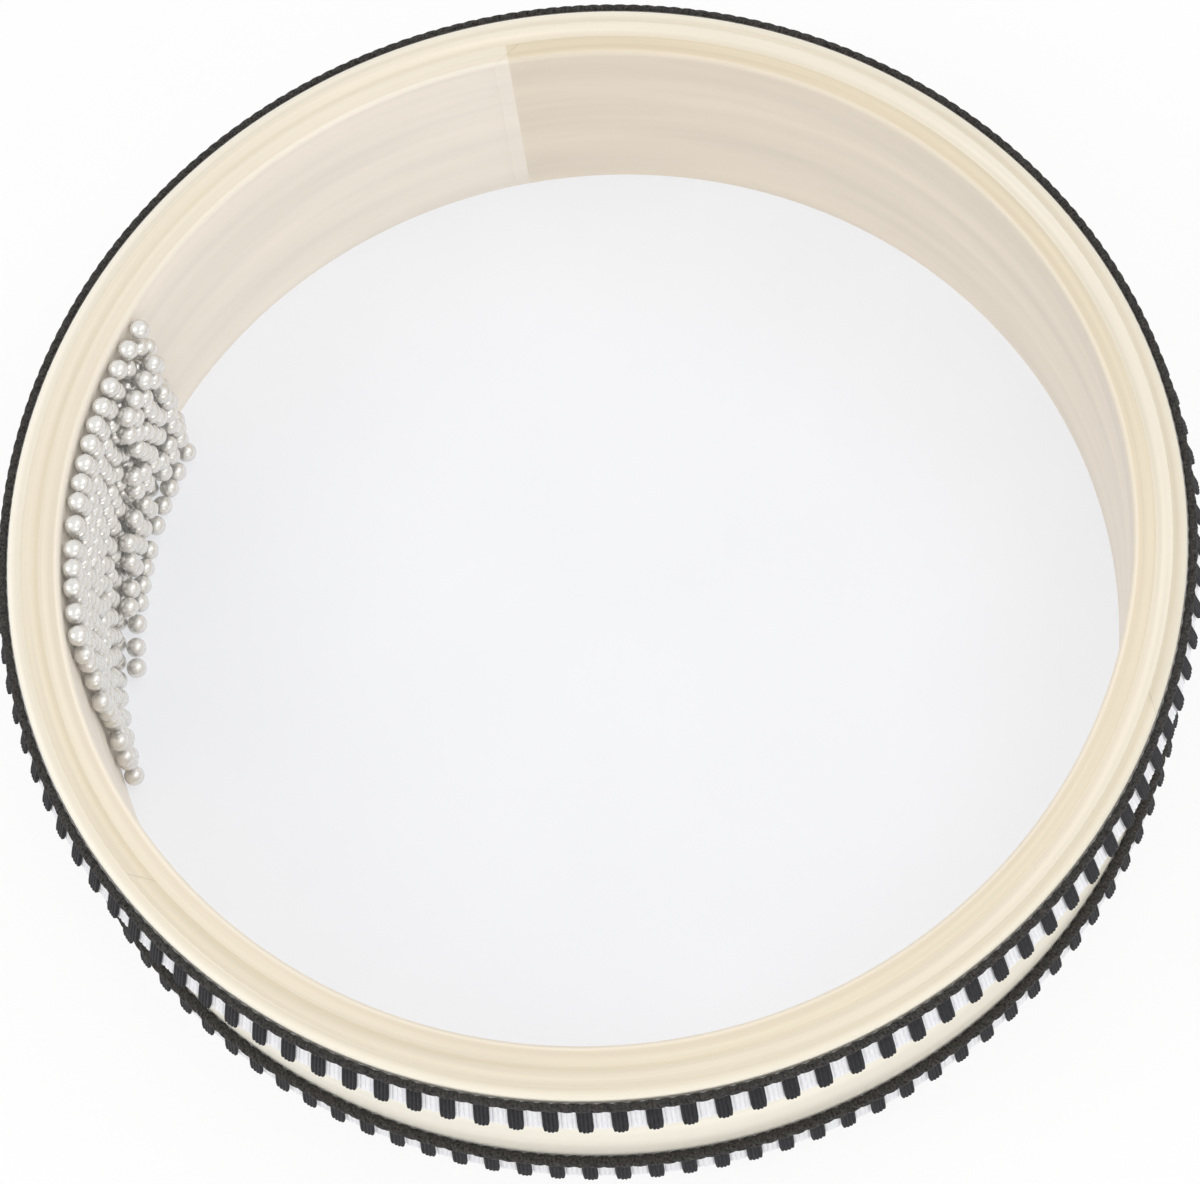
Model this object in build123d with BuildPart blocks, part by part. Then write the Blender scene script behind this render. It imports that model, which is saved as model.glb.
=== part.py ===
"""Ocean drum: a bent-ply hoop, two glued film heads, two braid bands and loose steel beads."""
import itertools
import math
import os

from build123d import *

os.makedirs("parts", exist_ok=True)

# Hoop, in millimetres: three bent plies glued one inside the other, lying flat with +Z up
hoop_outer_radius = 125.0
hoop_height = 57.0
outer_ply_thickness = 2.9
middle_ply_thickness = 3.6
inner_ply_thickness = 4.6
glue_gap = 0.1

# Bearing edge: the slope over the hoop's outer corners, inside the outer ply
bevel_width = 2.6
bevel_drop = 0.7

# The two ends of each bent ply meet in a slanted seam, and the seams stand apart round the hoop
seam_gap = 0.3
seam_slant = -55.0
inner_ply_seam = 90.0
seam_stagger = 120.0

# Film heads: a disc stretched over the hoop's edge, with a lip glued down on the bearing edge
film_thickness = 0.25

# Braid: a twisted cord along the top edge of a woven tape that carries upright bars.
# The upper braid lies flat against the hoop. The lower one is narrower and leans away towards its top.
cord_thickness = 2.0
cord_height = 2.0
cord_face_height = 1.0
tape_thickness = 0.7
bar_count = 114
bar_width = 3.25
bar_thickness = 0.9
upper_bar_length = 14.6
lower_bar_length = 12.1
upper_bar_start = 0.9
lower_bar_start = 0.0
braid_setback = 0.65
lower_braid_lean = 1.1

# Beads: lanes of steel balls, one above the other, that run round the inside of the wall
bead_diameter = 4.4
beads_per_lane = 7
lane_gap = 0.3
wall_gap = 0.3
pile_start = 143.5
pile_sweep = 44.0

# Sizes that follow from these
hoop_bottom = film_thickness
hoop_top = hoop_bottom + hoop_height
overall_height = hoop_top + film_thickness
middle_ply_radius = hoop_outer_radius - outer_ply_thickness - glue_gap
inner_ply_radius = middle_ply_radius - middle_ply_thickness - glue_gap
chamber_radius = inner_ply_radius - inner_ply_thickness
bevel_slope = math.atan2(bevel_drop, bevel_width)
lip_inner_radius = hoop_outer_radius + glue_gap
lip_outer_radius = lip_inner_radius + film_thickness * math.sin(bevel_slope)
braid_inner_radius = lip_outer_radius + glue_gap
upper_bar_foot = hoop_top - braid_setback - cord_height - glue_gap - upper_bar_length
lower_bar_foot = hoop_bottom + braid_setback
bead_radius = bead_diameter / 2
lane_pitch = bead_diameter + lane_gap
lane_radius = chamber_radius - wall_gap - bead_radius


def save(piece, name):
    """Label a finished piece and write it to its own file."""
    piece.part.label = name
    export_step(piece.part, f"parts/{name}.step")


def make_ply(name, outer_radius, thickness, seam_angle):
    """One bent strip of the hoop: its share of the bevelled wall, cut through at its seam."""
    inner_radius = outer_radius - thickness
    seam_length = 2 * thickness / math.cos(math.radians(seam_slant))
    with BuildPart() as ply:
        with BuildSketch(Plane.XZ):
            Polygon(
                (0, hoop_bottom),
                (hoop_outer_radius - bevel_width, hoop_bottom),
                (hoop_outer_radius, hoop_bottom + bevel_drop),
                (hoop_outer_radius, hoop_top - bevel_drop),
                (hoop_outer_radius - bevel_width, hoop_top),
                (0, hoop_top),
                align=None,
            )
            with Locations((inner_radius, hoop_bottom)):
                Rectangle(thickness, hoop_height, align=Align.MIN, mode=Mode.INTERSECT)
        revolve(axis=Axis.Z)
        with PolarLocations(outer_radius - thickness / 2, 1, start_angle=seam_angle):
            Box(
                seam_length,
                seam_gap,
                2 * overall_height,
                rotation=(0, 0, seam_slant),
                mode=Mode.SUBTRACT,
            )
    save(ply, name)


def make_head(name, edge_height, outward):
    """A film head: the disc lies on the hoop's edge and ends in a lip that follows the bearing edge."""
    bend_radius = lip_inner_radius - bevel_width
    mitre = film_thickness * math.tan(bevel_slope / 2)
    section = [
        (0, 0),
        (bend_radius, 0),
        (lip_inner_radius, -bevel_drop),
        (lip_outer_radius, film_thickness * math.cos(bevel_slope) - bevel_drop),
        (bend_radius + mitre, film_thickness),
        (0, film_thickness),
    ]
    with BuildPart() as head:
        with BuildSketch(Plane.XZ):
            with BuildLine():
                Polyline(*[(r, edge_height + outward * z) for r, z in section], close=True)
            make_face()
        revolve(axis=Axis.Z)
    save(head, name)


def make_cord(name, foot, lean):
    """The braid's edge cord, a ring that is flat towards the hoop and narrows towards the outside."""
    inner_radius = braid_inner_radius + lean
    outer_radius = inner_radius + cord_thickness
    slope_height = (cord_height - cord_face_height) / 2
    with BuildPart() as cord:
        with BuildSketch(Plane.XZ):
            with BuildLine():
                Polyline(
                    (inner_radius, foot),
                    (outer_radius, foot + slope_height),
                    (outer_radius, foot + slope_height + cord_face_height),
                    (inner_radius, foot + cord_height),
                    close=True,
                )
            make_face()
        revolve(axis=Axis.Z)
    save(cord, name)


def make_tape(name, foot, bar_length, lean):
    """The braid's woven ground, a band below the cord that leans out by a given amount at its top."""
    with BuildPart() as tape:
        with BuildSketch(Plane.XZ):
            with BuildLine():
                Polyline(
                    (braid_inner_radius, foot),
                    (braid_inner_radius + tape_thickness, foot),
                    (braid_inner_radius + tape_thickness + lean, foot + bar_length),
                    (braid_inner_radius + lean, foot + bar_length),
                    close=True,
                )
            make_face()
        revolve(axis=Axis.Z)
    save(tape, name)


def make_bars(name, foot, bar_length, lean, start_angle):
    """The braid's upright bars, evenly spaced round the tape from the first one's angle."""
    bar_radius = braid_inner_radius + tape_thickness + glue_gap + bar_thickness / 2
    with BuildPart(Plane.XY.offset(foot)) as bars:
        with PolarLocations(bar_radius, bar_count, start_angle):
            Box(
                bar_thickness,
                bar_width,
                bar_length,
                rotation=(0, math.degrees(math.atan2(lean, bar_length)), 0),
                align=(Align.CENTER, Align.CENTER, Align.MIN),
            )
    save(bars, name)


def make_ball():
    """A twenty-sided ball, as wide as the bead along each of its own three axes."""
    golden = (1 + math.sqrt(5)) / 2
    half_edge = bead_radius / golden
    longest_edge = 2 * half_edge + bead_radius / 100
    corners = []
    for a, b in itertools.product((-half_edge, half_edge), (-bead_radius, bead_radius)):
        corners += [Vector(0, a, b), Vector(a, b, 0), Vector(b, 0, a)]
    sides = []
    for triple in itertools.combinations(corners, 3):
        if all((p - q).length < longest_edge for p, q in itertools.combinations(triple, 2)):
            sides.append(Face(Wire.make_polygon(triple)))
    return Solid(Shell(sides))


def make_lane(name, height, offset, ball):
    """One level of the bead pile, an arc of balls against the wall."""
    step = pile_sweep / beads_per_lane
    with BuildPart(Plane.XY.offset(height)) as lane:
        with PolarLocations(lane_radius, beads_per_lane, pile_start + offset * step, pile_sweep):
            add(ball)
    save(lane, name)


make_ply("outer_ply", hoop_outer_radius, outer_ply_thickness, inner_ply_seam + 2 * seam_stagger)
make_ply("middle_ply", middle_ply_radius, middle_ply_thickness, inner_ply_seam + seam_stagger)
make_ply("inner_ply", inner_ply_radius, inner_ply_thickness, inner_ply_seam)
make_head("upper_head", hoop_top, 1)
make_head("lower_head", hoop_bottom, -1)

braid_bands = [
    ("upper", upper_bar_foot, upper_bar_length, 0.0, upper_bar_start),
    ("lower", lower_bar_foot, lower_bar_length, lower_braid_lean, lower_bar_start),
]
for band, foot, bar_length, lean, bar_start in braid_bands:
    make_cord(f"{band}_braid_cord", foot + bar_length + glue_gap, lean)
    make_tape(f"{band}_braid_tape", foot, bar_length, lean)
    make_bars(f"{band}_braid_bars", foot, bar_length, lean, bar_start)

lane_count = int((hoop_height - 2 * wall_gap - bead_diameter) / lane_pitch) + 1
lowest_lane = (hoop_bottom + hoop_top - (lane_count - 1) * lane_pitch) / 2
bead_ball = make_ball()
for lane_number in range(lane_count):
    make_lane(
        f"bead_lane_{lane_number + 1:02d}",
        lowest_lane + lane_number * lane_pitch,
        0.5 * (lane_number % 2),
        bead_ball,
    )

overall_radius = braid_inner_radius + lower_braid_lean + cord_thickness
print(f"overall: {2 * overall_radius:.1f} across, {overall_height:.1f} high")
print(f"chamber: radius {chamber_radius:.1f}, {lane_count} lanes of beads")
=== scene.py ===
# %% [markdown]
# # An ocean drum
# The drum is a hoop of bent plywood with a clear film head on top and a white one below. Steel beads run
# round inside it, and when it is tipped they sound like surf. Two bands of braid hide the glued film edges.
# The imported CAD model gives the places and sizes, apart from the braid's, which are read again from the
# photograph. This lesson models each piece once more, with the rounded edges, twists and finishes that show.

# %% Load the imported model
import bmesh
import bpy
import math
import random
from mathutils import Matrix, Vector


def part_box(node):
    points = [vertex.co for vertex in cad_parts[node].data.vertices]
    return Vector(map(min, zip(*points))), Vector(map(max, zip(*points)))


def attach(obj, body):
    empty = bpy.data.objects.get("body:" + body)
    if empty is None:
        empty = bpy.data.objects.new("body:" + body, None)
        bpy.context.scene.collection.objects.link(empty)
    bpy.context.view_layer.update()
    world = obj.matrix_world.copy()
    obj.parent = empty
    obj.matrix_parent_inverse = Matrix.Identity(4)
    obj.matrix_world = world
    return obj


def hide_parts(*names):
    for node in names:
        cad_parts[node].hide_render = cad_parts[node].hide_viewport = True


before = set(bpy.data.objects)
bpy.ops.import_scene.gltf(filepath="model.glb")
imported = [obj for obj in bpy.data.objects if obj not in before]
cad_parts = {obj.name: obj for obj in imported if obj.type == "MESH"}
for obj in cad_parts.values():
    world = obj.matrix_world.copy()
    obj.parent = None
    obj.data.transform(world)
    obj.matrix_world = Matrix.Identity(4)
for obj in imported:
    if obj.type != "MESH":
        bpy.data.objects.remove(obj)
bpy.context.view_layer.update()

MM = 0.001

# %% [markdown]
# ## Sizes from the frame
# A piece that is measured from the frame can't drift away from it, so the hoop's radii and heights are read
# from the boxes of the CAD nodes. A size that a box can't show, such as a wall thickness, is written once.

# %% Sizes
hoop_low, hoop_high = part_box("outer_ply")
HOOP_RADIUS = hoop_high.x
HOOP_BOTTOM = hoop_low.z
HOOP_TOP = hoop_high.z
INNER_PLY = 4.6 * MM
MIDDLE_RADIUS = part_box("middle_ply")[1].x
INNER_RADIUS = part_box("inner_ply")[1].x
CHAMBER_RADIUS = INNER_RADIUS - INNER_PLY
print(f"hoop radius {HOOP_RADIUS / MM:.1f} mm, chamber radius {CHAMBER_RADIUS / MM:.1f} mm")

# %% [markdown]
# ## The camera
# The photograph looks down on the drum with a long lens from the front, turned a little about its own axis.
# A camera could be aimed with a Track To constraint, but then its roll is hard to set. Three unit vectors,
# for right, up and back, give the aim and the roll together, and they are the columns of its matrix.

# %% Camera
LENS = 119.27
SENSOR_WIDTH = 36.0
ELEVATION = math.radians(67.39)
ROLL = math.radians(-10.163)
DISTANCE = 840.5 * MM
AIM_RIGHT = 1.785 * MM
AIM_DOWN = 14.31 * MM

back = Vector((0, -math.cos(ELEVATION), math.sin(ELEVATION)))
level_right = Vector((1, 0, 0))
level_up = back.cross(level_right)
right = math.cos(ROLL) * level_right + math.sin(ROLL) * level_up
up = math.cos(ROLL) * level_up - math.sin(ROLL) * level_right
eye = Vector((0, 0, HOOP_TOP)) + AIM_RIGHT * right - AIM_DOWN * up + DISTANCE * back

bpy.ops.object.camera_add()
camera = bpy.context.object
camera.name = "camera"
camera.data.lens = LENS
camera.data.sensor_width = SENSOR_WIDTH
camera.data.sensor_fit = "HORIZONTAL"
camera.matrix_world = Matrix.Translation(eye) @ Matrix((right, up, back)).transposed().to_4x4()
bpy.context.scene.camera = camera
bpy.context.scene.view_settings.view_transform = "Standard"
print("camera stands at", [round(x, 4) for x in eye])

# %% [markdown]
# ## Working by hand, in code
# Blender's operators act on whatever is selected, and loading the frame leaves the CAD nodes selected. So
# each step first selects one piece alone. Vertices, edges and faces are then picked by their place, as a
# hand would box-select them.

# %% Selecting and finishing
def alone(piece):
    """Select this piece and nothing else, so that an operator touches only it."""
    bpy.ops.object.select_all(action="DESELECT")
    piece.select_set(True)
    bpy.context.view_layer.objects.active = piece


def edit(piece, kind):
    """Open a piece in edit mode with VERT, EDGE or FACE selection."""
    alone(piece)
    bpy.ops.object.mode_set(mode="EDIT")
    bpy.ops.mesh.select_mode(type=kind)


def leave_edit():
    bpy.ops.object.mode_set(mode="OBJECT")


def pick(piece, kind, test):
    """In edit mode, select the verts, edges or faces whose middle passes the test."""
    shape = bmesh.from_edit_mesh(piece.data)
    bpy.ops.mesh.select_all(action="DESELECT")
    for part in getattr(shape, kind):
        corners = [part] if kind == "verts" else part.verts
        middle = sum((corner.co for corner in corners), Vector()) / len(corners)
        if test(middle):
            part.select_set(True)
    shape.select_flush_mode()
    bmesh.update_edit_mesh(piece.data)


def modify(piece, kind, **settings):
    """Add one modifier with its settings and apply it at once."""
    alone(piece)
    modifier = piece.modifiers.new(kind, kind)
    for name, value in settings.items():
        setattr(modifier, name, value)
    bpy.ops.object.modifier_apply(modifier=modifier.name)


def settle(piece, merge=0.005 * MM):
    """Put the place into the mesh, merge doubles and turn all faces outwards."""
    alone(piece)
    bpy.ops.object.transform_apply(location=True, rotation=True, scale=True)
    edit(piece, "VERT")
    bpy.ops.mesh.select_all(action="SELECT")
    bpy.ops.mesh.remove_doubles(threshold=merge)
    bpy.ops.mesh.normals_make_consistent(inside=False)
    leave_edit()


def complete(piece, name, body, finish, nodes, smooth=40):
    """Name a finished piece, smooth it, dress it and hang it on its body in place of its CAD nodes."""
    piece.name = name
    alone(piece)
    bpy.ops.object.shade_smooth_by_angle(angle=math.radians(smooth))
    piece.data.materials.clear()
    piece.data.materials.append(finish)
    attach(piece, body)
    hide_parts(*nodes)
    print(f"{name}: {len(piece.data.polygons)} faces")


# %% [markdown]
# ## Building materials from nodes
# A finish here is one Principled shader fed by noise and waves. Two things keep that short: one function
# that adds any node with its settings and links, and one that reads a colour as it is picked from a screen.
# Nearly every piece of a drum runs round its axis, so the patterns follow ring coordinates: the distance
# along the ring, the distance from the axis, and the height. They jump where the ring's angle starts
# again, and that place is turned to the piece's own seam.

# %% Colours, nodes and ring coordinates
WAVE_PERIOD = math.tau / 20


def ink(code):
    """An sRGB hex colour, as picked from a screen, in the linear values that shaders take."""
    shares = [int(code[i:i + 2], 16) / 255 for i in (0, 2, 4)]
    return [s / 12.92 if s <= 0.04045 else ((s + 0.055) / 1.055) ** 2.4 for s in shares] + [1.0]


def node(finish, kind, inputs=None, **settings):
    """Add a node: settings are its own switches, inputs its sockets, each a value or an output."""
    made = finish.node_tree.nodes.new("ShaderNode" + kind)
    for name, value in settings.items():
        setattr(made, name, value)
    for socket, value in (inputs or {}).items():
        if isinstance(value, bpy.types.NodeSocket):
            finish.node_tree.links.new(value, made.inputs[socket])
        else:
            made.inputs[socket].default_value = value
    return made


def new_finish(name):
    """An empty node material."""
    finish = bpy.data.materials.new(name)
    finish.use_nodes = True
    finish.node_tree.nodes.clear()
    return finish


def surface(finish, shader):
    """Send a shader to the material's output."""
    node(finish, "OutputMaterial", {"Surface": shader.outputs[0]})
    return finish


def ring_coordinates(finish, seam, radius):
    """Length along the ring, distance from the axis and height, in metres, starting at the seam."""
    place = node(finish, "TexCoord").outputs["Object"]
    turn = (0, 0, math.pi - math.radians(seam))
    turned = node(finish, "Mapping", {"Vector": place, "Rotation": turn}).outputs[0]
    parts = node(finish, "SeparateXYZ", {0: turned}).outputs
    angle = node(finish, "Math", {0: parts["Y"], 1: parts["X"]}, operation="ARCTAN2").outputs[0]
    along = node(finish, "Math", {0: angle, 1: radius}, operation="MULTIPLY").outputs[0]
    flat = node(finish, "CombineXYZ", {"X": parts["X"], "Y": parts["Y"]}).outputs[0]
    out = node(finish, "VectorMath", {0: flat}, operation="LENGTH").outputs["Value"]
    return node(finish, "CombineXYZ", {"X": along, "Y": out, "Z": parts["Z"]}).outputs[0]


def shades(finish, factor, stops):
    """A colour ramp of (place, hex colour) stops, driven by a factor."""
    ramp = node(finish, "ValToRGB", {"Fac": factor})
    while len(ramp.color_ramp.elements) < len(stops):
        ramp.color_ramp.elements.new(0.5)
    for element, (place, code) in zip(ramp.color_ramp.elements, stops):
        element.position = place
        element.color = ink(code)
    return ramp.outputs["Color"]

# %% [markdown]
# ## Bent plywood
# The hoop is birch ply: pale sheets, sanded and sealed with a thin satin lacquer. A wood texture of rings
# would look like a log. Instead, a ramp across each sheet's thickness gives the tones of its sawn edge, paler
# at a planed face and darker along a glue line. On the inner sheet the palest band is a painted highlight
# on the rounded edge of the chamber. Long stretched noise then lightens and darkens it: narrow
# streaks that run round the rim, broad ones on the walls, and slow clouds. Each sheet also drifts slowly in
# tone. The ends of the outer sheets match, but those of the inner one don't, and its tone jumps at the seam.

# %% Plywood finish
STREAK_LENGTH = 90 * MM
STREAK_WIDTH = 1.2 * MM
WALL_STREAK = 7 * MM
CLOUD_LENGTH = 140 * MM
CLOUD_WIDTH = 9 * MM


def plywood(name, seam, inner, outer, matched, tones):
    """Sanded birch ply: tones from its inner to its outer face, varied along the sheet, under a lacquer."""
    finish = new_finish(name)
    ring = ring_coordinates(finish, seam, outer)
    streak_scale = (1 / STREAK_LENGTH, 1 / STREAK_WIDTH, 1 / WALL_STREAK)
    cloud_scale = (1 / CLOUD_LENGTH, 1 / CLOUD_WIDTH, 1 / CLOUD_WIDTH)
    streak_place = node(finish, "Mapping", {"Vector": ring, "Scale": streak_scale}).outputs[0]
    cloud_place = node(finish, "Mapping", {"Vector": ring, "Scale": cloud_scale}).outputs[0]
    streak = node(finish, "TexNoise", {"Vector": streak_place, "Scale": 1.0, "Detail": 3.0}).outputs["Fac"]
    cloud = node(finish, "TexNoise", {"Vector": cloud_place, "Scale": 1.0, "Detail": 2.0}).outputs["Fac"]
    grain = node(finish, "Mix", {"Factor": 0.35, "A": streak, "B": cloud}).outputs["Result"]
    parts = node(finish, "SeparateXYZ", {0: ring}).outputs
    half_turn = math.pi * outer
    away = node(finish, "Math", {0: parts["X"]}, operation="ABSOLUTE").outputs[0]
    slow = node(finish, "MapRange", {
        "Value": away if matched else parts["X"], "From Min": 0.0 if matched else -half_turn,
        "From Max": half_turn, "To Min": 0.67, "To Max": 0.33}).outputs["Result"]
    grain = node(finish, "Mix", {"Factor": 0.45, "A": grain, "B": slow}).outputs["Result"]
    depth = node(finish, "MapRange", {"Value": parts["Y"], "From Min": inner, "From Max": outer})
    tone = shades(finish, depth.outputs["Result"], tones)
    light = node(finish, "MapRange", {
        "Value": grain, "From Min": 0.36, "From Max": 0.64, "To Min": 0.88, "To Max": 1.11}).outputs["Result"]
    warmth = node(finish, "MapRange", {
        "Value": slow, "From Min": 0.33, "From Max": 0.67, "To Min": 1.25, "To Max": 0.86}).outputs["Result"]
    colour = node(finish, "HueSaturation", {"Color": tone, "Value": light, "Saturation": warmth}).outputs[0]
    gloss = node(finish, "MapRange", {"Value": streak, "To Min": 0.34, "To Max": 0.5}).outputs["Result"]
    bump = node(finish, "Bump", {"Height": streak, "Strength": 0.12, "Distance": 0.05 * MM}).outputs[0]
    shader = node(finish, "BsdfPrincipled", {
        "Base Color": colour, "Roughness": gloss, "Normal": bump, "IOR": 1.5,
    })
    return surface(finish, shader)


INNER_SEAM = 90
MIDDLE_SEAM = 210
OUTER_SEAM = 330
# The inner sheet's palest stop, at 0.18, lies on the rounded chamber edge: a painted highlight.
inner_birch = plywood("inner_birch_ply", INNER_SEAM, CHAMBER_RADIUS, INNER_RADIUS, False, [
    (0.0, "e7ddce"), (0.18, "ede3d1"), (0.3, "e3d6bf"), (0.75, "e5dac4"), (1.0, "e2d6bf")])
middle_birch = plywood("middle_birch_ply", MIDDLE_SEAM, INNER_RADIUS, MIDDLE_RADIUS, True, [
    (0.0, "e3d8c2"), (0.15, "dfd4be"), (0.45, "e9dfcc"), (1.0, "e7ddca")])
outer_birch = plywood("outer_birch_ply", OUTER_SEAM, MIDDLE_RADIUS, HOOP_RADIUS, True, [
    (0.0, "e4dac6"), (0.25, "e0d6c2"), (0.55, "e9e0ce"), (0.97, "efe9da"), (1.0, "f1ecde")])
print("plywood finishes:", outer_birch.name, middle_birch.name, inner_birch.name)

# %% [markdown]
# ## The three plies of the hoop
# Each ply is a long strip, steamed, bent round and glued inside the next, with its two ends cut on a slant
# and butted. A cylinder with a hole would have no joint and no edges to round. So a small plane stands for
# the strip's section, its corners are rounded with Bevel, it is slanted like the joint, and Spin carries it
# round the axis to within a hair of itself. The bearing edge on the outside is low and wide, so that
# section is drawn taller, rounded, and pressed back to its height.

# %% Spin a bent strip
SPIN_STEPS = 240
SEAM_GAP = 0.04 * MM
SEAM_SLANT = math.radians(-55)
EDGE_STEPS = 8


def bent_strip(inner, outer, seam, inner_round, outer_round, press=1.0):
    """A ply: a plane section with rounded corners, spun about the drum's axis from its slanted seam."""
    bpy.ops.mesh.primitive_plane_add(size=1, rotation=(math.pi / 2, 0, 0))
    strip = bpy.context.object
    alone(strip)
    bpy.ops.object.transform_apply(location=False, rotation=True, scale=False)
    strip.scale = (outer - inner, 1, (HOOP_TOP - HOOP_BOTTOM) / press)
    strip.location.x = (outer + inner) / 2
    bpy.ops.object.transform_apply(location=True, rotation=True, scale=True)
    half = (outer + inner) / 2
    edit(strip, "VERT")
    pick(strip, "verts", lambda place: place.x < half)
    bpy.ops.mesh.bevel(offset=inner_round, segments=EDGE_STEPS, affect="VERTICES")
    pick(strip, "verts", lambda place: place.x > half)
    bpy.ops.mesh.bevel(offset=outer_round, segments=EDGE_STEPS, affect="VERTICES")
    leave_edit()
    strip.scale.z = press
    strip.location.z = (HOOP_TOP + HOOP_BOTTOM) / 2
    bpy.ops.object.transform_apply(location=True, rotation=True, scale=True)
    for corner in strip.data.vertices:
        slide = (corner.co.x - inner) * math.tan(SEAM_SLANT) / corner.co.x
        corner.co = Matrix.Rotation(slide, 3, "Z") @ corner.co
    gap = SEAM_GAP / math.cos(SEAM_SLANT) / outer
    edit(strip, "FACE")
    bpy.ops.mesh.select_all(action="SELECT")
    bpy.ops.mesh.spin(steps=SPIN_STEPS, angle=math.tau - gap, center=(0, 0, 0), axis=(0, 0, 1))
    leave_edit()
    strip.rotation_euler.z = math.radians(seam) - (outer - inner) / 2 * math.tan(SEAM_SLANT) / inner
    settle(strip)
    return strip

# %% Outer, middle and inner ply
BEARING_ROUND = 2.6 * MM
BEARING_PRESS = 0.3
CHAMBER_ROUND = 0.9 * MM
EASED = 0.02 * MM
GLUE_LINE = 0.01 * MM

outer_ply = bent_strip(
    MIDDLE_RADIUS + GLUE_LINE, HOOP_RADIUS, OUTER_SEAM, EASED, BEARING_ROUND, BEARING_PRESS)
complete(outer_ply, "outer_ply_strip", "drum", outer_birch, ["outer_ply"])
middle_ply = bent_strip(INNER_RADIUS + GLUE_LINE, MIDDLE_RADIUS, MIDDLE_SEAM, EASED, EASED)
complete(middle_ply, "middle_ply_strip", "drum", middle_birch, ["middle_ply"])
inner_ply = bent_strip(CHAMBER_RADIUS, INNER_RADIUS, INNER_SEAM, CHAMBER_ROUND, EASED)
complete(inner_ply, "inner_ply_strip", "drum", inner_birch, ["inner_ply"])

# %% [markdown]
# ## Film heads
# Both heads are polyester film, heat-shrunk over the hoop and glued down its outside. The upper one is
# clear, so it is drawn with a low alpha that rises where it is seen edge-on, as gloss does. Real glass
# nodes would darken the beads below, because lamps don't pass through them. The lower one is the same film
# with a milky white backing. It shows no gloss from inside. Most of what it sends to the eye is a painted
# glow from Emission, which stands in for light that comes through it from the white ground below. The glow
# also fills the shade that the walls cast near their feet, so the head stays bright up to the walls.

# %% Film finishes
clear_film = new_finish("clear_polyester_film")
edge_on = node(clear_film, "LayerWeight", {"Blend": 0.5}).outputs["Facing"]
glance = node(clear_film, "Math", {0: edge_on, 1: 5.0}, operation="POWER").outputs[0]
veil = node(clear_film, "MapRange", {"Value": glance, "To Min": 0.03, "To Max": 0.25}).outputs["Result"]
film_shader = node(clear_film, "BsdfPrincipled", {
    "Base Color": ink("fbfbf9"), "Roughness": 0.08, "IOR": 1.57, "Alpha": veil,
})
surface(clear_film, film_shader)

# A milky film scatters light evenly, with only the faintest clouding where the backing is thicker. It is a
# little cool, and the warm light off the wood makes up for that. Its base is a dim grey on purpose, because
# the painted glow gives most of its brightness.
CLOUDING = 45 * MM
white_film = new_finish("milky_polyester_film_painted_glow")
film_place = node(white_film, "TexCoord").outputs["Object"]
clouding = node(white_film, "TexNoise", {"Vector": film_place, "Scale": 1 / CLOUDING, "Detail": 2.0})
film_base_under_glow = shades(white_film, clouding.outputs["Fac"], [(0.3, "939497"), (0.7, "97989b")])
milk_and_glow_shader = node(white_film, "BsdfPrincipled", {
    "Base Color": film_base_under_glow, "Roughness": 0.45, "IOR": 1.57,
    # Painted glow: Emission stands in for light from the ground below the film and lifts the shade near the
    # walls.
    "Emission Color": ink("fafbfe"), "Emission Strength": 0.6,
})
surface(white_film, milk_and_glow_shader)
print("film finishes:", clear_film.name, white_film.name)

# %% [markdown]
# A head starts as a flat filled circle. Its rim is extruded outwards and downwards in small steps that
# follow the rounded edge of the hoop, and Solidify then gives the sheet its thickness. The lower head is
# the same sheet turned upside down.

# %% Stretch the heads
FILM = 0.2 * MM
FILM_CLEARANCE = 0.03 * MM
FILM_STEPS = 7
FILM_CORNERS = 192


def film_head(outward, edge):
    """A film disc with its lip wrapped round the hoop's rounded edge, at the top (1) or bottom (-1)."""
    bend = HOOP_RADIUS - BEARING_ROUND
    reach = BEARING_ROUND + FILM_CLEARANCE
    fall = BEARING_PRESS * BEARING_ROUND + FILM_CLEARANCE
    bpy.ops.mesh.primitive_circle_add(vertices=FILM_CORNERS, radius=bend, fill_type="TRIFAN")
    head = bpy.context.object
    head.location.z = edge + outward * FILM_CLEARANCE
    alone(head)
    bpy.ops.object.transform_apply(location=True, rotation=True, scale=True)
    edit(head, "EDGE")
    radius, drop = bend, 0.0
    for step in range(1, FILM_STEPS + 1):
        angle = math.radians(88) * step / FILM_STEPS
        next_radius = bend + reach * math.sin(angle)
        next_drop = fall * (1 - math.cos(angle))
        bpy.ops.mesh.select_all(action="DESELECT")
        bpy.ops.mesh.select_non_manifold()
        bpy.ops.mesh.extrude_edges_move(
            TRANSFORM_OT_translate={"value": (0, 0, -outward * (next_drop - drop))})
        grow = next_radius / radius
        bpy.ops.transform.resize(value=(grow, grow, 1), center_override=(0, 0, 0))
        radius, drop = next_radius, next_drop
    leave_edit()
    settle(head)
    edit(head, "FACE")
    bpy.ops.mesh.select_all(action="SELECT")
    if head.data.polygons[0].normal.z * outward < 0:
        bpy.ops.mesh.flip_normals()
    leave_edit()
    modify(head, "SOLIDIFY", thickness=FILM, offset=1.0)
    return head


upper_film = film_head(1, HOOP_TOP)
complete(upper_film, "upper_clear_film", "drum", clear_film, ["upper_head"])
lower_film = film_head(-1, HOOP_BOTTOM)
complete(lower_film, "lower_white_film", "drum", white_film, ["lower_head"])

# %% [markdown]
# ## Black and white yarn
# The braid is woven from soft cotton-like yarn. Yarn has no shine of its own, but its loose fibres catch
# light at the edges, which Sheen gives. A slanted wave stands for the twist of the yarn, and noise that is
# stretched along it breaks the wave up so that it doesn't look printed. The yarn's own twist is finer than
# the picture can show, so it is drawn about twice as coarse. White yarn hides its twist, so it has less.

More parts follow.
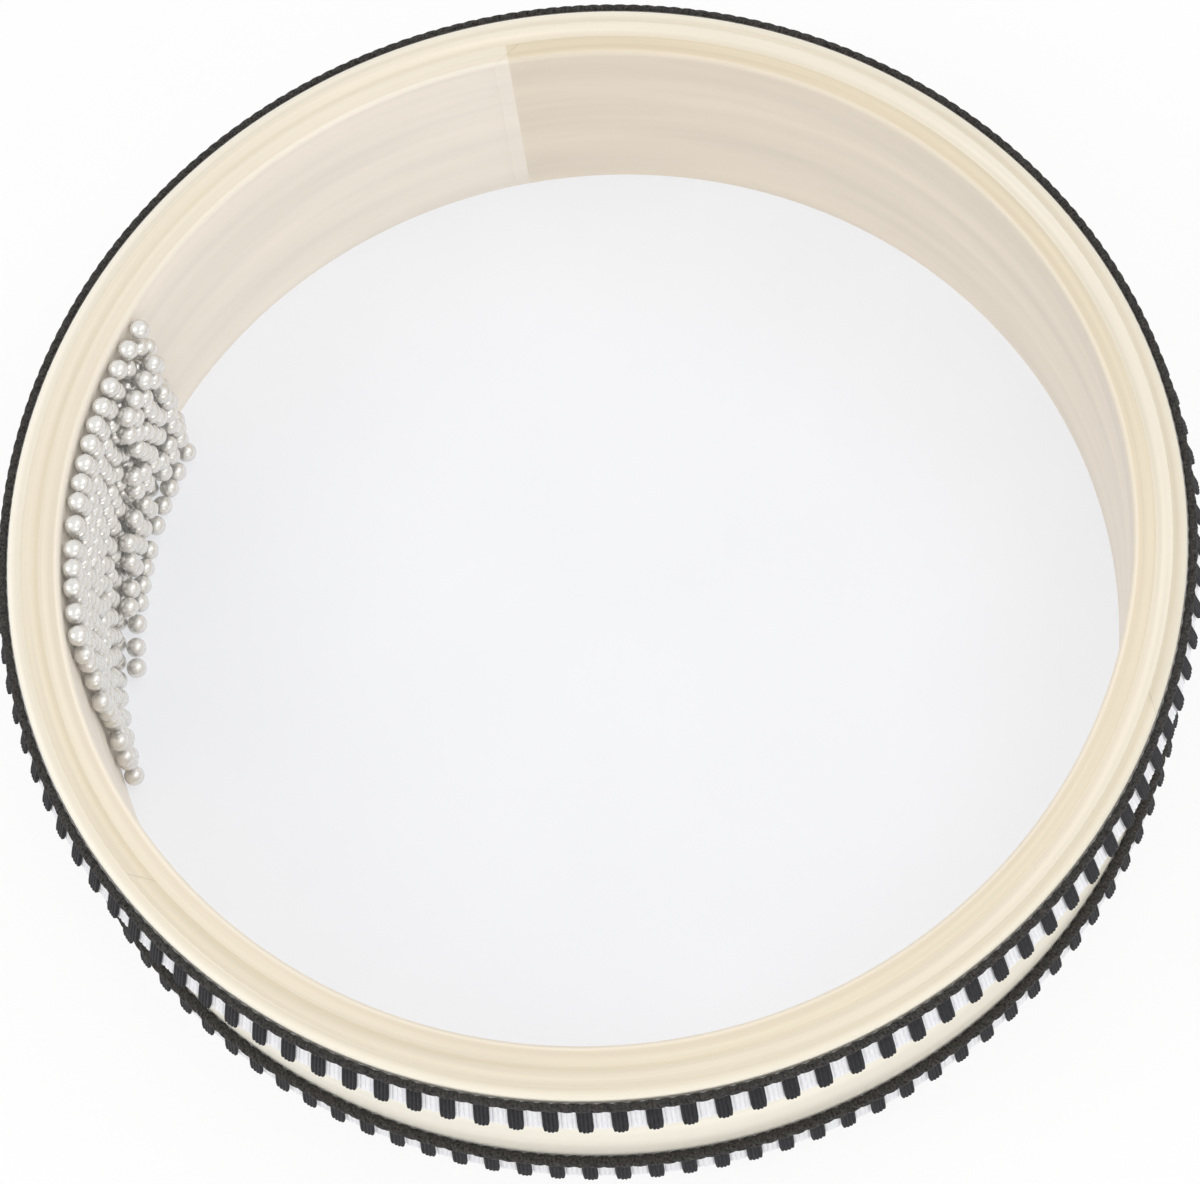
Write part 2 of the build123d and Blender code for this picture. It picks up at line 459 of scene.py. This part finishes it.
# %% Yarn finish
BAR_COUNT = 114
YARN_TWISTS_PER_BAR = 8
YARN_FUZZ = 0.5 * MM
braid_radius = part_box("upper_braid_cord")[1].x
BAR_PITCH = math.tau * braid_radius / BAR_COUNT


def yarn(name, dark, pale, shine, slant, twisted, fuzz_stretch):
    """Spun yarn: a share of slanted twist lines broken up by fuzz, with a soft sheen at the edges."""
    finish = new_finish(name)
    ring = ring_coordinates(finish, 90, braid_radius)
    twist = BAR_PITCH / YARN_TWISTS_PER_BAR
    lean = node(finish, "Mapping", {"Vector": ring, "Scale": (1, 0, slant)}).outputs[0]
    across = node(finish, "VectorMath", {0: lean, 1: (1, 0, 1)}, operation="DOT_PRODUCT").outputs["Value"]
    spread = node(finish, "CombineXYZ", {"X": across}).outputs[0]
    wave = node(finish, "TexWave", {"Vector": spread, "Scale": WAVE_PERIOD / twist}).outputs["Fac"]
    fuzz_scale = (1 / YARN_FUZZ, 1 / YARN_FUZZ, 1 / (YARN_FUZZ * fuzz_stretch))
    fuzz_place = node(finish, "Mapping", {"Vector": ring, "Scale": fuzz_scale}).outputs[0]
    fuzz = node(finish, "TexNoise", {"Vector": fuzz_place, "Scale": 1.0, "Detail": 3.0}).outputs["Fac"]
    mixed = node(finish, "Mix", {"Factor": twisted, "A": fuzz, "B": wave}).outputs["Result"]
    colour = shades(finish, mixed, [(0.25, dark), (0.75, pale)])
    bump = node(finish, "Bump", {"Height": mixed, "Strength": 0.5, "Distance": 0.15 * MM}).outputs[0]
    shader = node(finish, "BsdfPrincipled", {
        "Base Color": colour, "Roughness": 0.85, "Normal": bump,
        "Specular IOR Level": shine, "Sheen Weight": 0.1, "Sheen Roughness": 0.5,
    })
    return surface(finish, shader)


cord_yarn = yarn("black_cotton_cord", "161514", "504d4a", 0.1, 0.9, 0.1, 3)
bar_yarn = yarn("black_cotton_yarn", "171719", "333337", 0.1, 0.0, 0.3, 5)
white_yarn = yarn("white_cotton_yarn", "e9e9ed", "f7f7f9", 0.5, 0.0, 0.0, 6)
print("yarn finishes:", cord_yarn.name, bar_yarn.name, white_yarn.name)

# %% [markdown]
# ## The edge cord of the braid
# Along the top of each band runs a cord of three black strands, loosely twisted together. A torus would be
# smooth, so the twist is modelled: three circles are carried along a Screw for one turn, Array repeats that
# turn all the way, and Simple Deform bends the straight cord into a ring. The ring is closed by merging its
# ends. The lower cord is thicker than the upper one, and it all but touches the wood.

# %% Twist the cord
STRANDS = 3
STRAND_CORNERS = 8
STRAND_SHARE = 0.32
CORD_TURNS = 86
TURN_STEPS = 20
UPPER_CORD = {"thick": 2.0 * MM, "radius": 126.25 * MM, "height": 55.6 * MM}
LOWER_CORD = {"thick": 2.6 * MM, "radius": 126.35 * MM, "height": 12.4 * MM}


def edge_cord(size):
    """A three-strand cord, bent into a ring of this thickness and middle radius at this height."""
    thick = size["thick"]
    turn = math.tau * size["radius"] / CORD_TURNS
    strand = STRAND_SHARE * thick
    offset = thick / 2 - strand
    bpy.ops.mesh.primitive_circle_add(vertices=STRAND_CORNERS, radius=strand, rotation=(0, math.pi / 2, 0))
    cord = bpy.context.object
    cord.location.y = offset
    alone(cord)
    bpy.ops.object.transform_apply(location=True, rotation=True, scale=True)
    edit(cord, "VERT")
    for number in range(1, STRANDS):
        angle = math.tau * number / STRANDS
        bpy.ops.mesh.primitive_circle_add(
            vertices=STRAND_CORNERS, radius=strand, rotation=(0, math.pi / 2, 0),
            location=(0, offset * math.cos(angle), offset * math.sin(angle)))
    leave_edit()
    modify(cord, "SCREW", axis="X", angle=math.tau, screw_offset=turn, steps=TURN_STEPS,
           render_steps=TURN_STEPS)
    modify(cord, "ARRAY", count=CORD_TURNS, use_relative_offset=False, use_constant_offset=True,
           constant_offset_displace=(turn, 0, 0), use_merge_vertices=True, merge_threshold=0.01 * MM)
    modify(cord, "SIMPLE_DEFORM", deform_method="BEND", deform_axis="Z", angle=math.tau)
    cord.location = (0, -size["radius"], size["height"])
    settle(cord, merge=0.02 * MM)
    return cord


upper_cord = edge_cord(UPPER_CORD)
complete(upper_cord, "upper_twisted_cord", "drum", cord_yarn, ["upper_braid_cord"], 80)
lower_cord = edge_cord(LOWER_CORD)
complete(lower_cord, "lower_twisted_cord", "drum", cord_yarn, ["lower_braid_cord"], 80)

# %% [markdown]
# ## The white ground of the braid
# Below the cord, white yarns stand side by side round the hoop. One yarn is a narrow block with its outer
# edges rounded by Bevel. Its two side walls are deleted, so that when Array sets the yarns in a row and
# merges them, only the ribbed face is left. The band stands away from the hoop at its foot, like a skirt, so
# the top is pushed in by its lean, and the row is then bent into a ring like the cord. On the right of the
# photograph the bars reach out past the cord, and that gives the radius and height of each foot.

# %% Lay the white yarns
YARNS_PER_BAR = 6
TAPE_DEPTH = 0.5 * MM
UPPER_BAND = {"top": 55.0 * MM, "top_radius": 125.6 * MM, "foot": 46.6 * MM, "foot_radius": 128.2 * MM}
LOWER_BAND = {"top": 11.8 * MM, "top_radius": 125.8 * MM, "foot": 4.0 * MM, "foot_radius": 127.2 * MM}


def ribbed_tape(band):
    """Upright white yarns side by side, bent into a skirt from the band's top to its foot."""
    radius = band["foot_radius"]
    lean = band["top_radius"] - radius
    count = BAR_COUNT * YARNS_PER_BAR
    width = math.tau * radius / count
    bpy.ops.mesh.primitive_cube_add(size=1)
    tape = bpy.context.object
    tape.scale = (width, TAPE_DEPTH, band["top"] - band["foot"])
    tape.location.y = TAPE_DEPTH / 2
    alone(tape)
    bpy.ops.object.transform_apply(location=True, rotation=True, scale=True)
    edit(tape, "EDGE")
    pick(tape, "edges", lambda place: place.y < 0.1 * TAPE_DEPTH and abs(place.x) > 0.4 * width)
    bpy.ops.mesh.bevel(offset=0.27 * width, segments=2, affect="EDGES")
    bpy.ops.mesh.select_mode(type="FACE")
    pick(tape, "faces", lambda place: abs(place.x) > 0.499 * width)
    bpy.ops.mesh.delete(type="FACE")
    bpy.ops.mesh.select_mode(type="VERT")
    pick(tape, "verts", lambda place: place.z > 0)
    bpy.ops.transform.translate(value=(0, -lean, 0))
    leave_edit()
    modify(tape, "ARRAY", count=count, use_relative_offset=False, use_constant_offset=True,
           constant_offset_displace=(width, 0, 0), use_merge_vertices=True, merge_threshold=0.01 * MM)
    modify(tape, "SIMPLE_DEFORM", deform_method="BEND", deform_axis="Z", angle=math.tau)
    tape.location = (0, -radius, (band["top"] + band["foot"]) / 2)
    settle(tape, merge=0.02 * MM)
    return tape


upper_tape = ribbed_tape(UPPER_BAND)
complete(upper_tape, "upper_white_yarns", "drum", white_yarn, ["upper_braid_tape"], 70)
lower_tape = ribbed_tape(LOWER_BAND)
complete(lower_tape, "lower_white_yarns", "drum", white_yarn, ["lower_braid_tape"], 70)

# %% [markdown]
# ## The bars of the braid
# Each black bar is a bundle of yarn that hangs from the cord: four strands side by side that swell below the
# cord and tuck in at the foot. One strand is an eight-sided cylinder, cut across in edit mode, with its lower
# part pushed outwards and its foot drawn in. Four of them make a bar. The bar is leaned and turned to its
# first place, and Array with a turned empty sets the others round the hoop.

# %% One strand of a bar
STRANDS_PER_BAR = 4
BAR_WIDTH = 3.0 * MM
BAR_DEPTH = 0.9 * MM
BAR_CUTS = 5
BAR_TUCK = 0.4 * MM
BAR_SWELL = 0.15 * MM
BAR_STANDOFF = 0.05 * MM
STRAND_OVERLAP = 1.45
OUTER_STRAND_RISE = 0.35 * MM


def bar_strand(side, length):
    """One strand with its foot at the origin's height, swollen outwards along +X."""
    width = BAR_WIDTH / STRANDS_PER_BAR
    outermost = abs(side) > BAR_WIDTH / 4
    foot = OUTER_STRAND_RISE if outermost else 0.0
    bpy.ops.mesh.primitive_cylinder_add(vertices=8, radius=0.5, depth=1, end_fill_type="NGON")
    strand = bpy.context.object
    strand.scale = (BAR_DEPTH, STRAND_OVERLAP * width, length + BAR_TUCK - foot)
    strand.location = (BAR_DEPTH / 2, side, (length + BAR_TUCK + foot) / 2)
    alone(strand)
    bpy.ops.object.transform_apply(location=True, rotation=True, scale=True)
    edit(strand, "EDGE")
    pick(strand, "edges", lambda place: abs(place.z - (length + BAR_TUCK + foot) / 2) < 0.1 * length)
    bpy.ops.mesh.subdivide(number_cuts=BAR_CUTS)
    bpy.ops.mesh.select_mode(type="VERT")
    pick(strand, "verts", lambda place: place.z < 0.8 * length and place.x > 0.6 * BAR_DEPTH)
    bpy.ops.transform.translate(value=(BAR_SWELL, 0, 0))
    bpy.ops.mesh.select_mode(type="FACE")
    pick(strand, "faces", lambda place: place.z < foot + 0.01 * length)
    bpy.ops.transform.resize(value=(0.9, 0.8, 1), center_override=(0.3 * BAR_DEPTH, 0.85 * side, foot))
    leave_edit()
    return strand

# %% Hang the bars
def hanging_bars(band, first):
    """Bars of four strands, leaned like their band and turned round the axis from the first one's angle."""
    height = band["top"] - band["foot"]
    lean = band["top_radius"] - band["foot_radius"]
    length = math.hypot(height, lean)
    strands = []
    for number in range(STRANDS_PER_BAR):
        strands.append(bar_strand((number + 0.5) / STRANDS_PER_BAR * BAR_WIDTH - BAR_WIDTH / 2, length))
    bar = strands[0]
    alone(bar)
    for strand in strands:
        strand.select_set(True)
    bpy.ops.object.join()
    bar.rotation_euler.y = math.atan2(lean, height)
    bar.location = (band["foot_radius"] + BAR_STANDOFF, 0, band["foot"])
    bpy.ops.object.transform_apply(location=True, rotation=True, scale=True)
    bar.rotation_euler.z = math.radians(first)
    bpy.ops.object.transform_apply(location=True, rotation=True, scale=True)
    bpy.ops.object.empty_add(rotation=(0, 0, math.tau / BAR_COUNT))
    step = bpy.context.object
    modify(bar, "ARRAY", count=BAR_COUNT, use_relative_offset=False, use_object_offset=True,
           offset_object=step)
    alone(step)
    bpy.ops.object.delete()
    settle(bar)
    print("bars", BAR_COUNT, "long", round(length / MM, 2))
    return bar


UPPER_FIRST = 0.9
LOWER_FIRST = 0.0
upper_bars = hanging_bars(UPPER_BAND, UPPER_FIRST)
complete(upper_bars, "upper_hanging_bars", "drum", bar_yarn, ["upper_braid_bars"], 80)
lower_bars = hanging_bars(LOWER_BAND, LOWER_FIRST)
complete(lower_bars, "lower_hanging_bars", "drum", bar_yarn, ["lower_braid_bars"], 80)

# %% [markdown]
# ## Polished steel beads
# The beads are bearing balls, ground and tumbled bright. Polished steel shows the room around it more than
# a colour of its own, so the finish is a pale grey metal with a little unevenness in its gloss. Tumbling
# leaves a fine dullness, which a share of plain reflection gives. The lamps draw a white point on each.

# %% Steel finish
TUMBLE_MARK = 0.9 * MM
bright_steel = new_finish("polished_bearing_steel")
steel_place = node(bright_steel, "TexCoord").outputs["Object"]
marks = node(bright_steel, "TexNoise", {"Vector": steel_place, "Scale": 1 / TUMBLE_MARK, "Detail": 2.0})
steel_gloss = node(bright_steel, "MapRange", {
    "Value": marks.outputs["Fac"], "To Min": 0.18, "To Max": 0.3}).outputs["Result"]
steel_colour = shades(bright_steel, marks.outputs["Fac"], [(0.3, "dddbd7"), (0.7, "e6e4e0")])
steel_shader = node(bright_steel, "BsdfPrincipled", {
    "Base Color": steel_colour, "Metallic": 0.7, "Roughness": steel_gloss,
})
surface(bright_steel, steel_shader)
print("steel finish:", bright_steel.name)

# %% [markdown]
# ## The pile of beads
# The drum was tipped to its left, so the beads lie in a heap against that wall: one layer all the way up,
# and on it a second one that is wide at the lower head and narrows upwards. A UV sphere has pinched poles, so
# a bead is a cube that is subdivided and rounded with To Sphere, and it is copied into lanes. A lane is one
# level of beads that can run round the drum by itself. Beads of the second layer sit in the furrow above
# their lane, just clear of both neighbours, so a turning lane never cuts through another. In the lowest lane
# they lie on the head, beside the first ones.

# %% One bead and its places
LANE_COUNT = 12
WALL_GAP = 0.3 * MM
lane_low, lane_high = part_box("bead_lane_01")
BEAD_RADIUS = (lane_high.z - lane_low.z) / 2
LANE_RADIUS = CHAMBER_RADIUS - WALL_GAP - BEAD_RADIUS
LANE_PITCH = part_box("bead_lane_02")[0].z - lane_low.z
LAYER_STEP = 3.75 * MM
SECOND_LAYER_LANES = 10
BEAD_STEP = math.degrees(2 * BEAD_RADIUS / LANE_RADIUS)
PILE_START = 143.5
PILE_END = 190.5
END_STEP = 0.55
SECOND_START = 145.6
SECOND_SHORTEST = 153
SECOND_SPREAD = 22
HEAD_LAYER_STEP = 2.04 * BEAD_RADIUS
chance = random.Random(7)

bpy.ops.mesh.primitive_cube_add(size=1)
first_bead = bpy.context.object
edit(first_bead, "VERT")
bpy.ops.mesh.select_all(action="SELECT")
bpy.ops.mesh.subdivide(number_cuts=4)
bpy.ops.transform.tosphere(value=1)
leave_edit()
first_bead.dimensions = (2 * BEAD_RADIUS,) * 3
settle(first_bead)
print(f"bead {2 * BEAD_RADIUS / MM:.1f} mm, {len(first_bead.data.polygons)} faces")


def arc_of_beads(first, last, share, slack):
    """Angles of beads side by side from first to last, with a few left out and small uneven gaps."""
    angle, angles = first, []
    while angle < last:
        if chance.random() < share:
            angles.append(angle)
        angle += BEAD_STEP * (1.01 + slack * chance.random() ** 3)
    return angles


def lane_places(number):
    """Angle, radius and height of every bead that runs in this lane, counted from the lower head."""
    level = lane_low.z + BEAD_RADIUS + (number - 1) * LANE_PITCH
    end = PILE_END - END_STEP * number
    start = PILE_START + 0.5 * BEAD_STEP * (number % 2) + 0.6 * chance.random()
    places = [(angle, LANE_RADIUS, level) for angle in arc_of_beads(start, end, 1.0, 0.35)]
    if number <= SECOND_LAYER_LANES:
        slope = (SECOND_LAYER_LANES - number) / (SECOND_LAYER_LANES - 1)
        second_end = SECOND_SHORTEST + SECOND_SPREAD * slope ** 2.5 + 2 * chance.random()
        for angle in arc_of_beads(SECOND_START + 1.2 * chance.random(), second_end, 0.95, 0.5):
            if number == 1:
                places.append((angle, LANE_RADIUS - HEAD_LAYER_STEP, level))
            else:
                places.append((angle, LANE_RADIUS - LAYER_STEP, level + LANE_PITCH / 2))
    return places

# %% Fill the lanes
bead_total = 0
for number in range(1, LANE_COUNT + 1):
    beads = []
    for angle, radius, level in lane_places(number):
        bead = first_bead.copy()
        bead.data = first_bead.data.copy()
        bpy.context.collection.objects.link(bead)
        turn = math.radians(angle)
        bead.location = (radius * math.cos(turn), radius * math.sin(turn), level)
        beads.append(bead)
    alone(beads[0])
    for bead in beads:
        bead.select_set(True)
    bpy.ops.object.join()
    lane = bpy.context.object
    bpy.ops.object.transform_apply(location=True, rotation=True, scale=True)
    node_name = f"bead_lane_{number:02d}"
    complete(lane, f"lane_{number:02d}_beads", node_name, bright_steel, [node_name], 60)
    bead_total += len(beads)
alone(first_bead)
bpy.ops.object.delete()
print("beads in the drum:", bead_total)

# %% [markdown]
# ## Floor and light
# The photograph has a plain white ground and light from all round, a little stronger from the right. The
# floor and the world show white to the camera and to reflections, and give the object an even light. Soft
# lamps on the right and in front add the highlights on the beads. A lamp on the left lights the right wall,
# and a low one in front lights the braid.

# %% Floor and world
FLOOR_GLOW = 0.85
FLOOR_DROP = 0.3 * MM
bpy.ops.mesh.primitive_plane_add(size=6, location=(0, 0, -FLOOR_DROP))
floor = bpy.context.object
floor.name = "floor"
floor_paint = new_finish("white_studio_paper")
path = node(floor_paint, "LightPath").outputs
seen = node(floor_paint, "Math", {0: path["Is Camera Ray"], 1: path["Is Glossy Ray"]}, operation="MAXIMUM")
seen = node(floor_paint, "Math", {0: seen.outputs[0], 1: path["Is Transmission Ray"]}, operation="MAXIMUM")
share = node(floor_paint, "Math", {0: seen.outputs[0], 1: FLOOR_GLOW}, operation="MULTIPLY").outputs[0]
paper = node(floor_paint, "BsdfDiffuse", {"Color": ink("f4f4f4")}).outputs[0]
glow = node(floor_paint, "Emission", {"Color": (1, 1, 1, 1), "Strength": 1.0}).outputs[0]
surface(floor_paint, node(floor_paint, "MixShader", {0: share, 1: paper, 2: glow}))
floor.data.materials.append(floor_paint)

AMBIENT = 0.85
world = bpy.data.worlds.new("white_studio")
world.use_nodes = True
world.node_tree.nodes.clear()
bpy.context.scene.world = world
sky_path = node(world, "LightPath").outputs
glossy = sky_path["Is Glossy Ray"]
straight = node(world, "Math", {0: sky_path["Is Camera Ray"], 1: glossy}, operation="MAXIMUM")
through = sky_path["Is Transmission Ray"]
sky_seen = node(world, "Math", {0: straight.outputs[0], 1: through}, operation="MAXIMUM").outputs[0]
level = node(world, "MapRange", {"Value": sky_seen, "To Min": AMBIENT, "To Max": 1.0}).outputs["Result"]
sky = node(world, "Background", {"Color": (1, 1, 1, 1), "Strength": level})
node(world, "OutputWorld", {"Surface": sky.outputs[0]})
print("world light", AMBIENT)

# %% Lamps
for name, place, size, power in [
    ("right_softbox", (0.9, 0.1, 1.4), 0.9, 2.6),
    ("front_softbox", (0.4, -0.5, 1.4), 0.5, 1.0),
    ("left_softbox", (-1.0, -0.1, 1.0), 0.7, 2.6),
    ("low_front_card", (0.3, -1.6, 0.45), 1.0, 4.4),
]:
    bpy.ops.object.light_add(type="AREA", location=place)
    lamp = bpy.context.object
    lamp.name = name
    lamp.data.shape = "DISK"
    lamp.data.size = size
    lamp.data.energy = power
    lamp.rotation_euler = Vector(place).to_track_quat("Z", "Y").to_euler()
    print(name, "at", place)
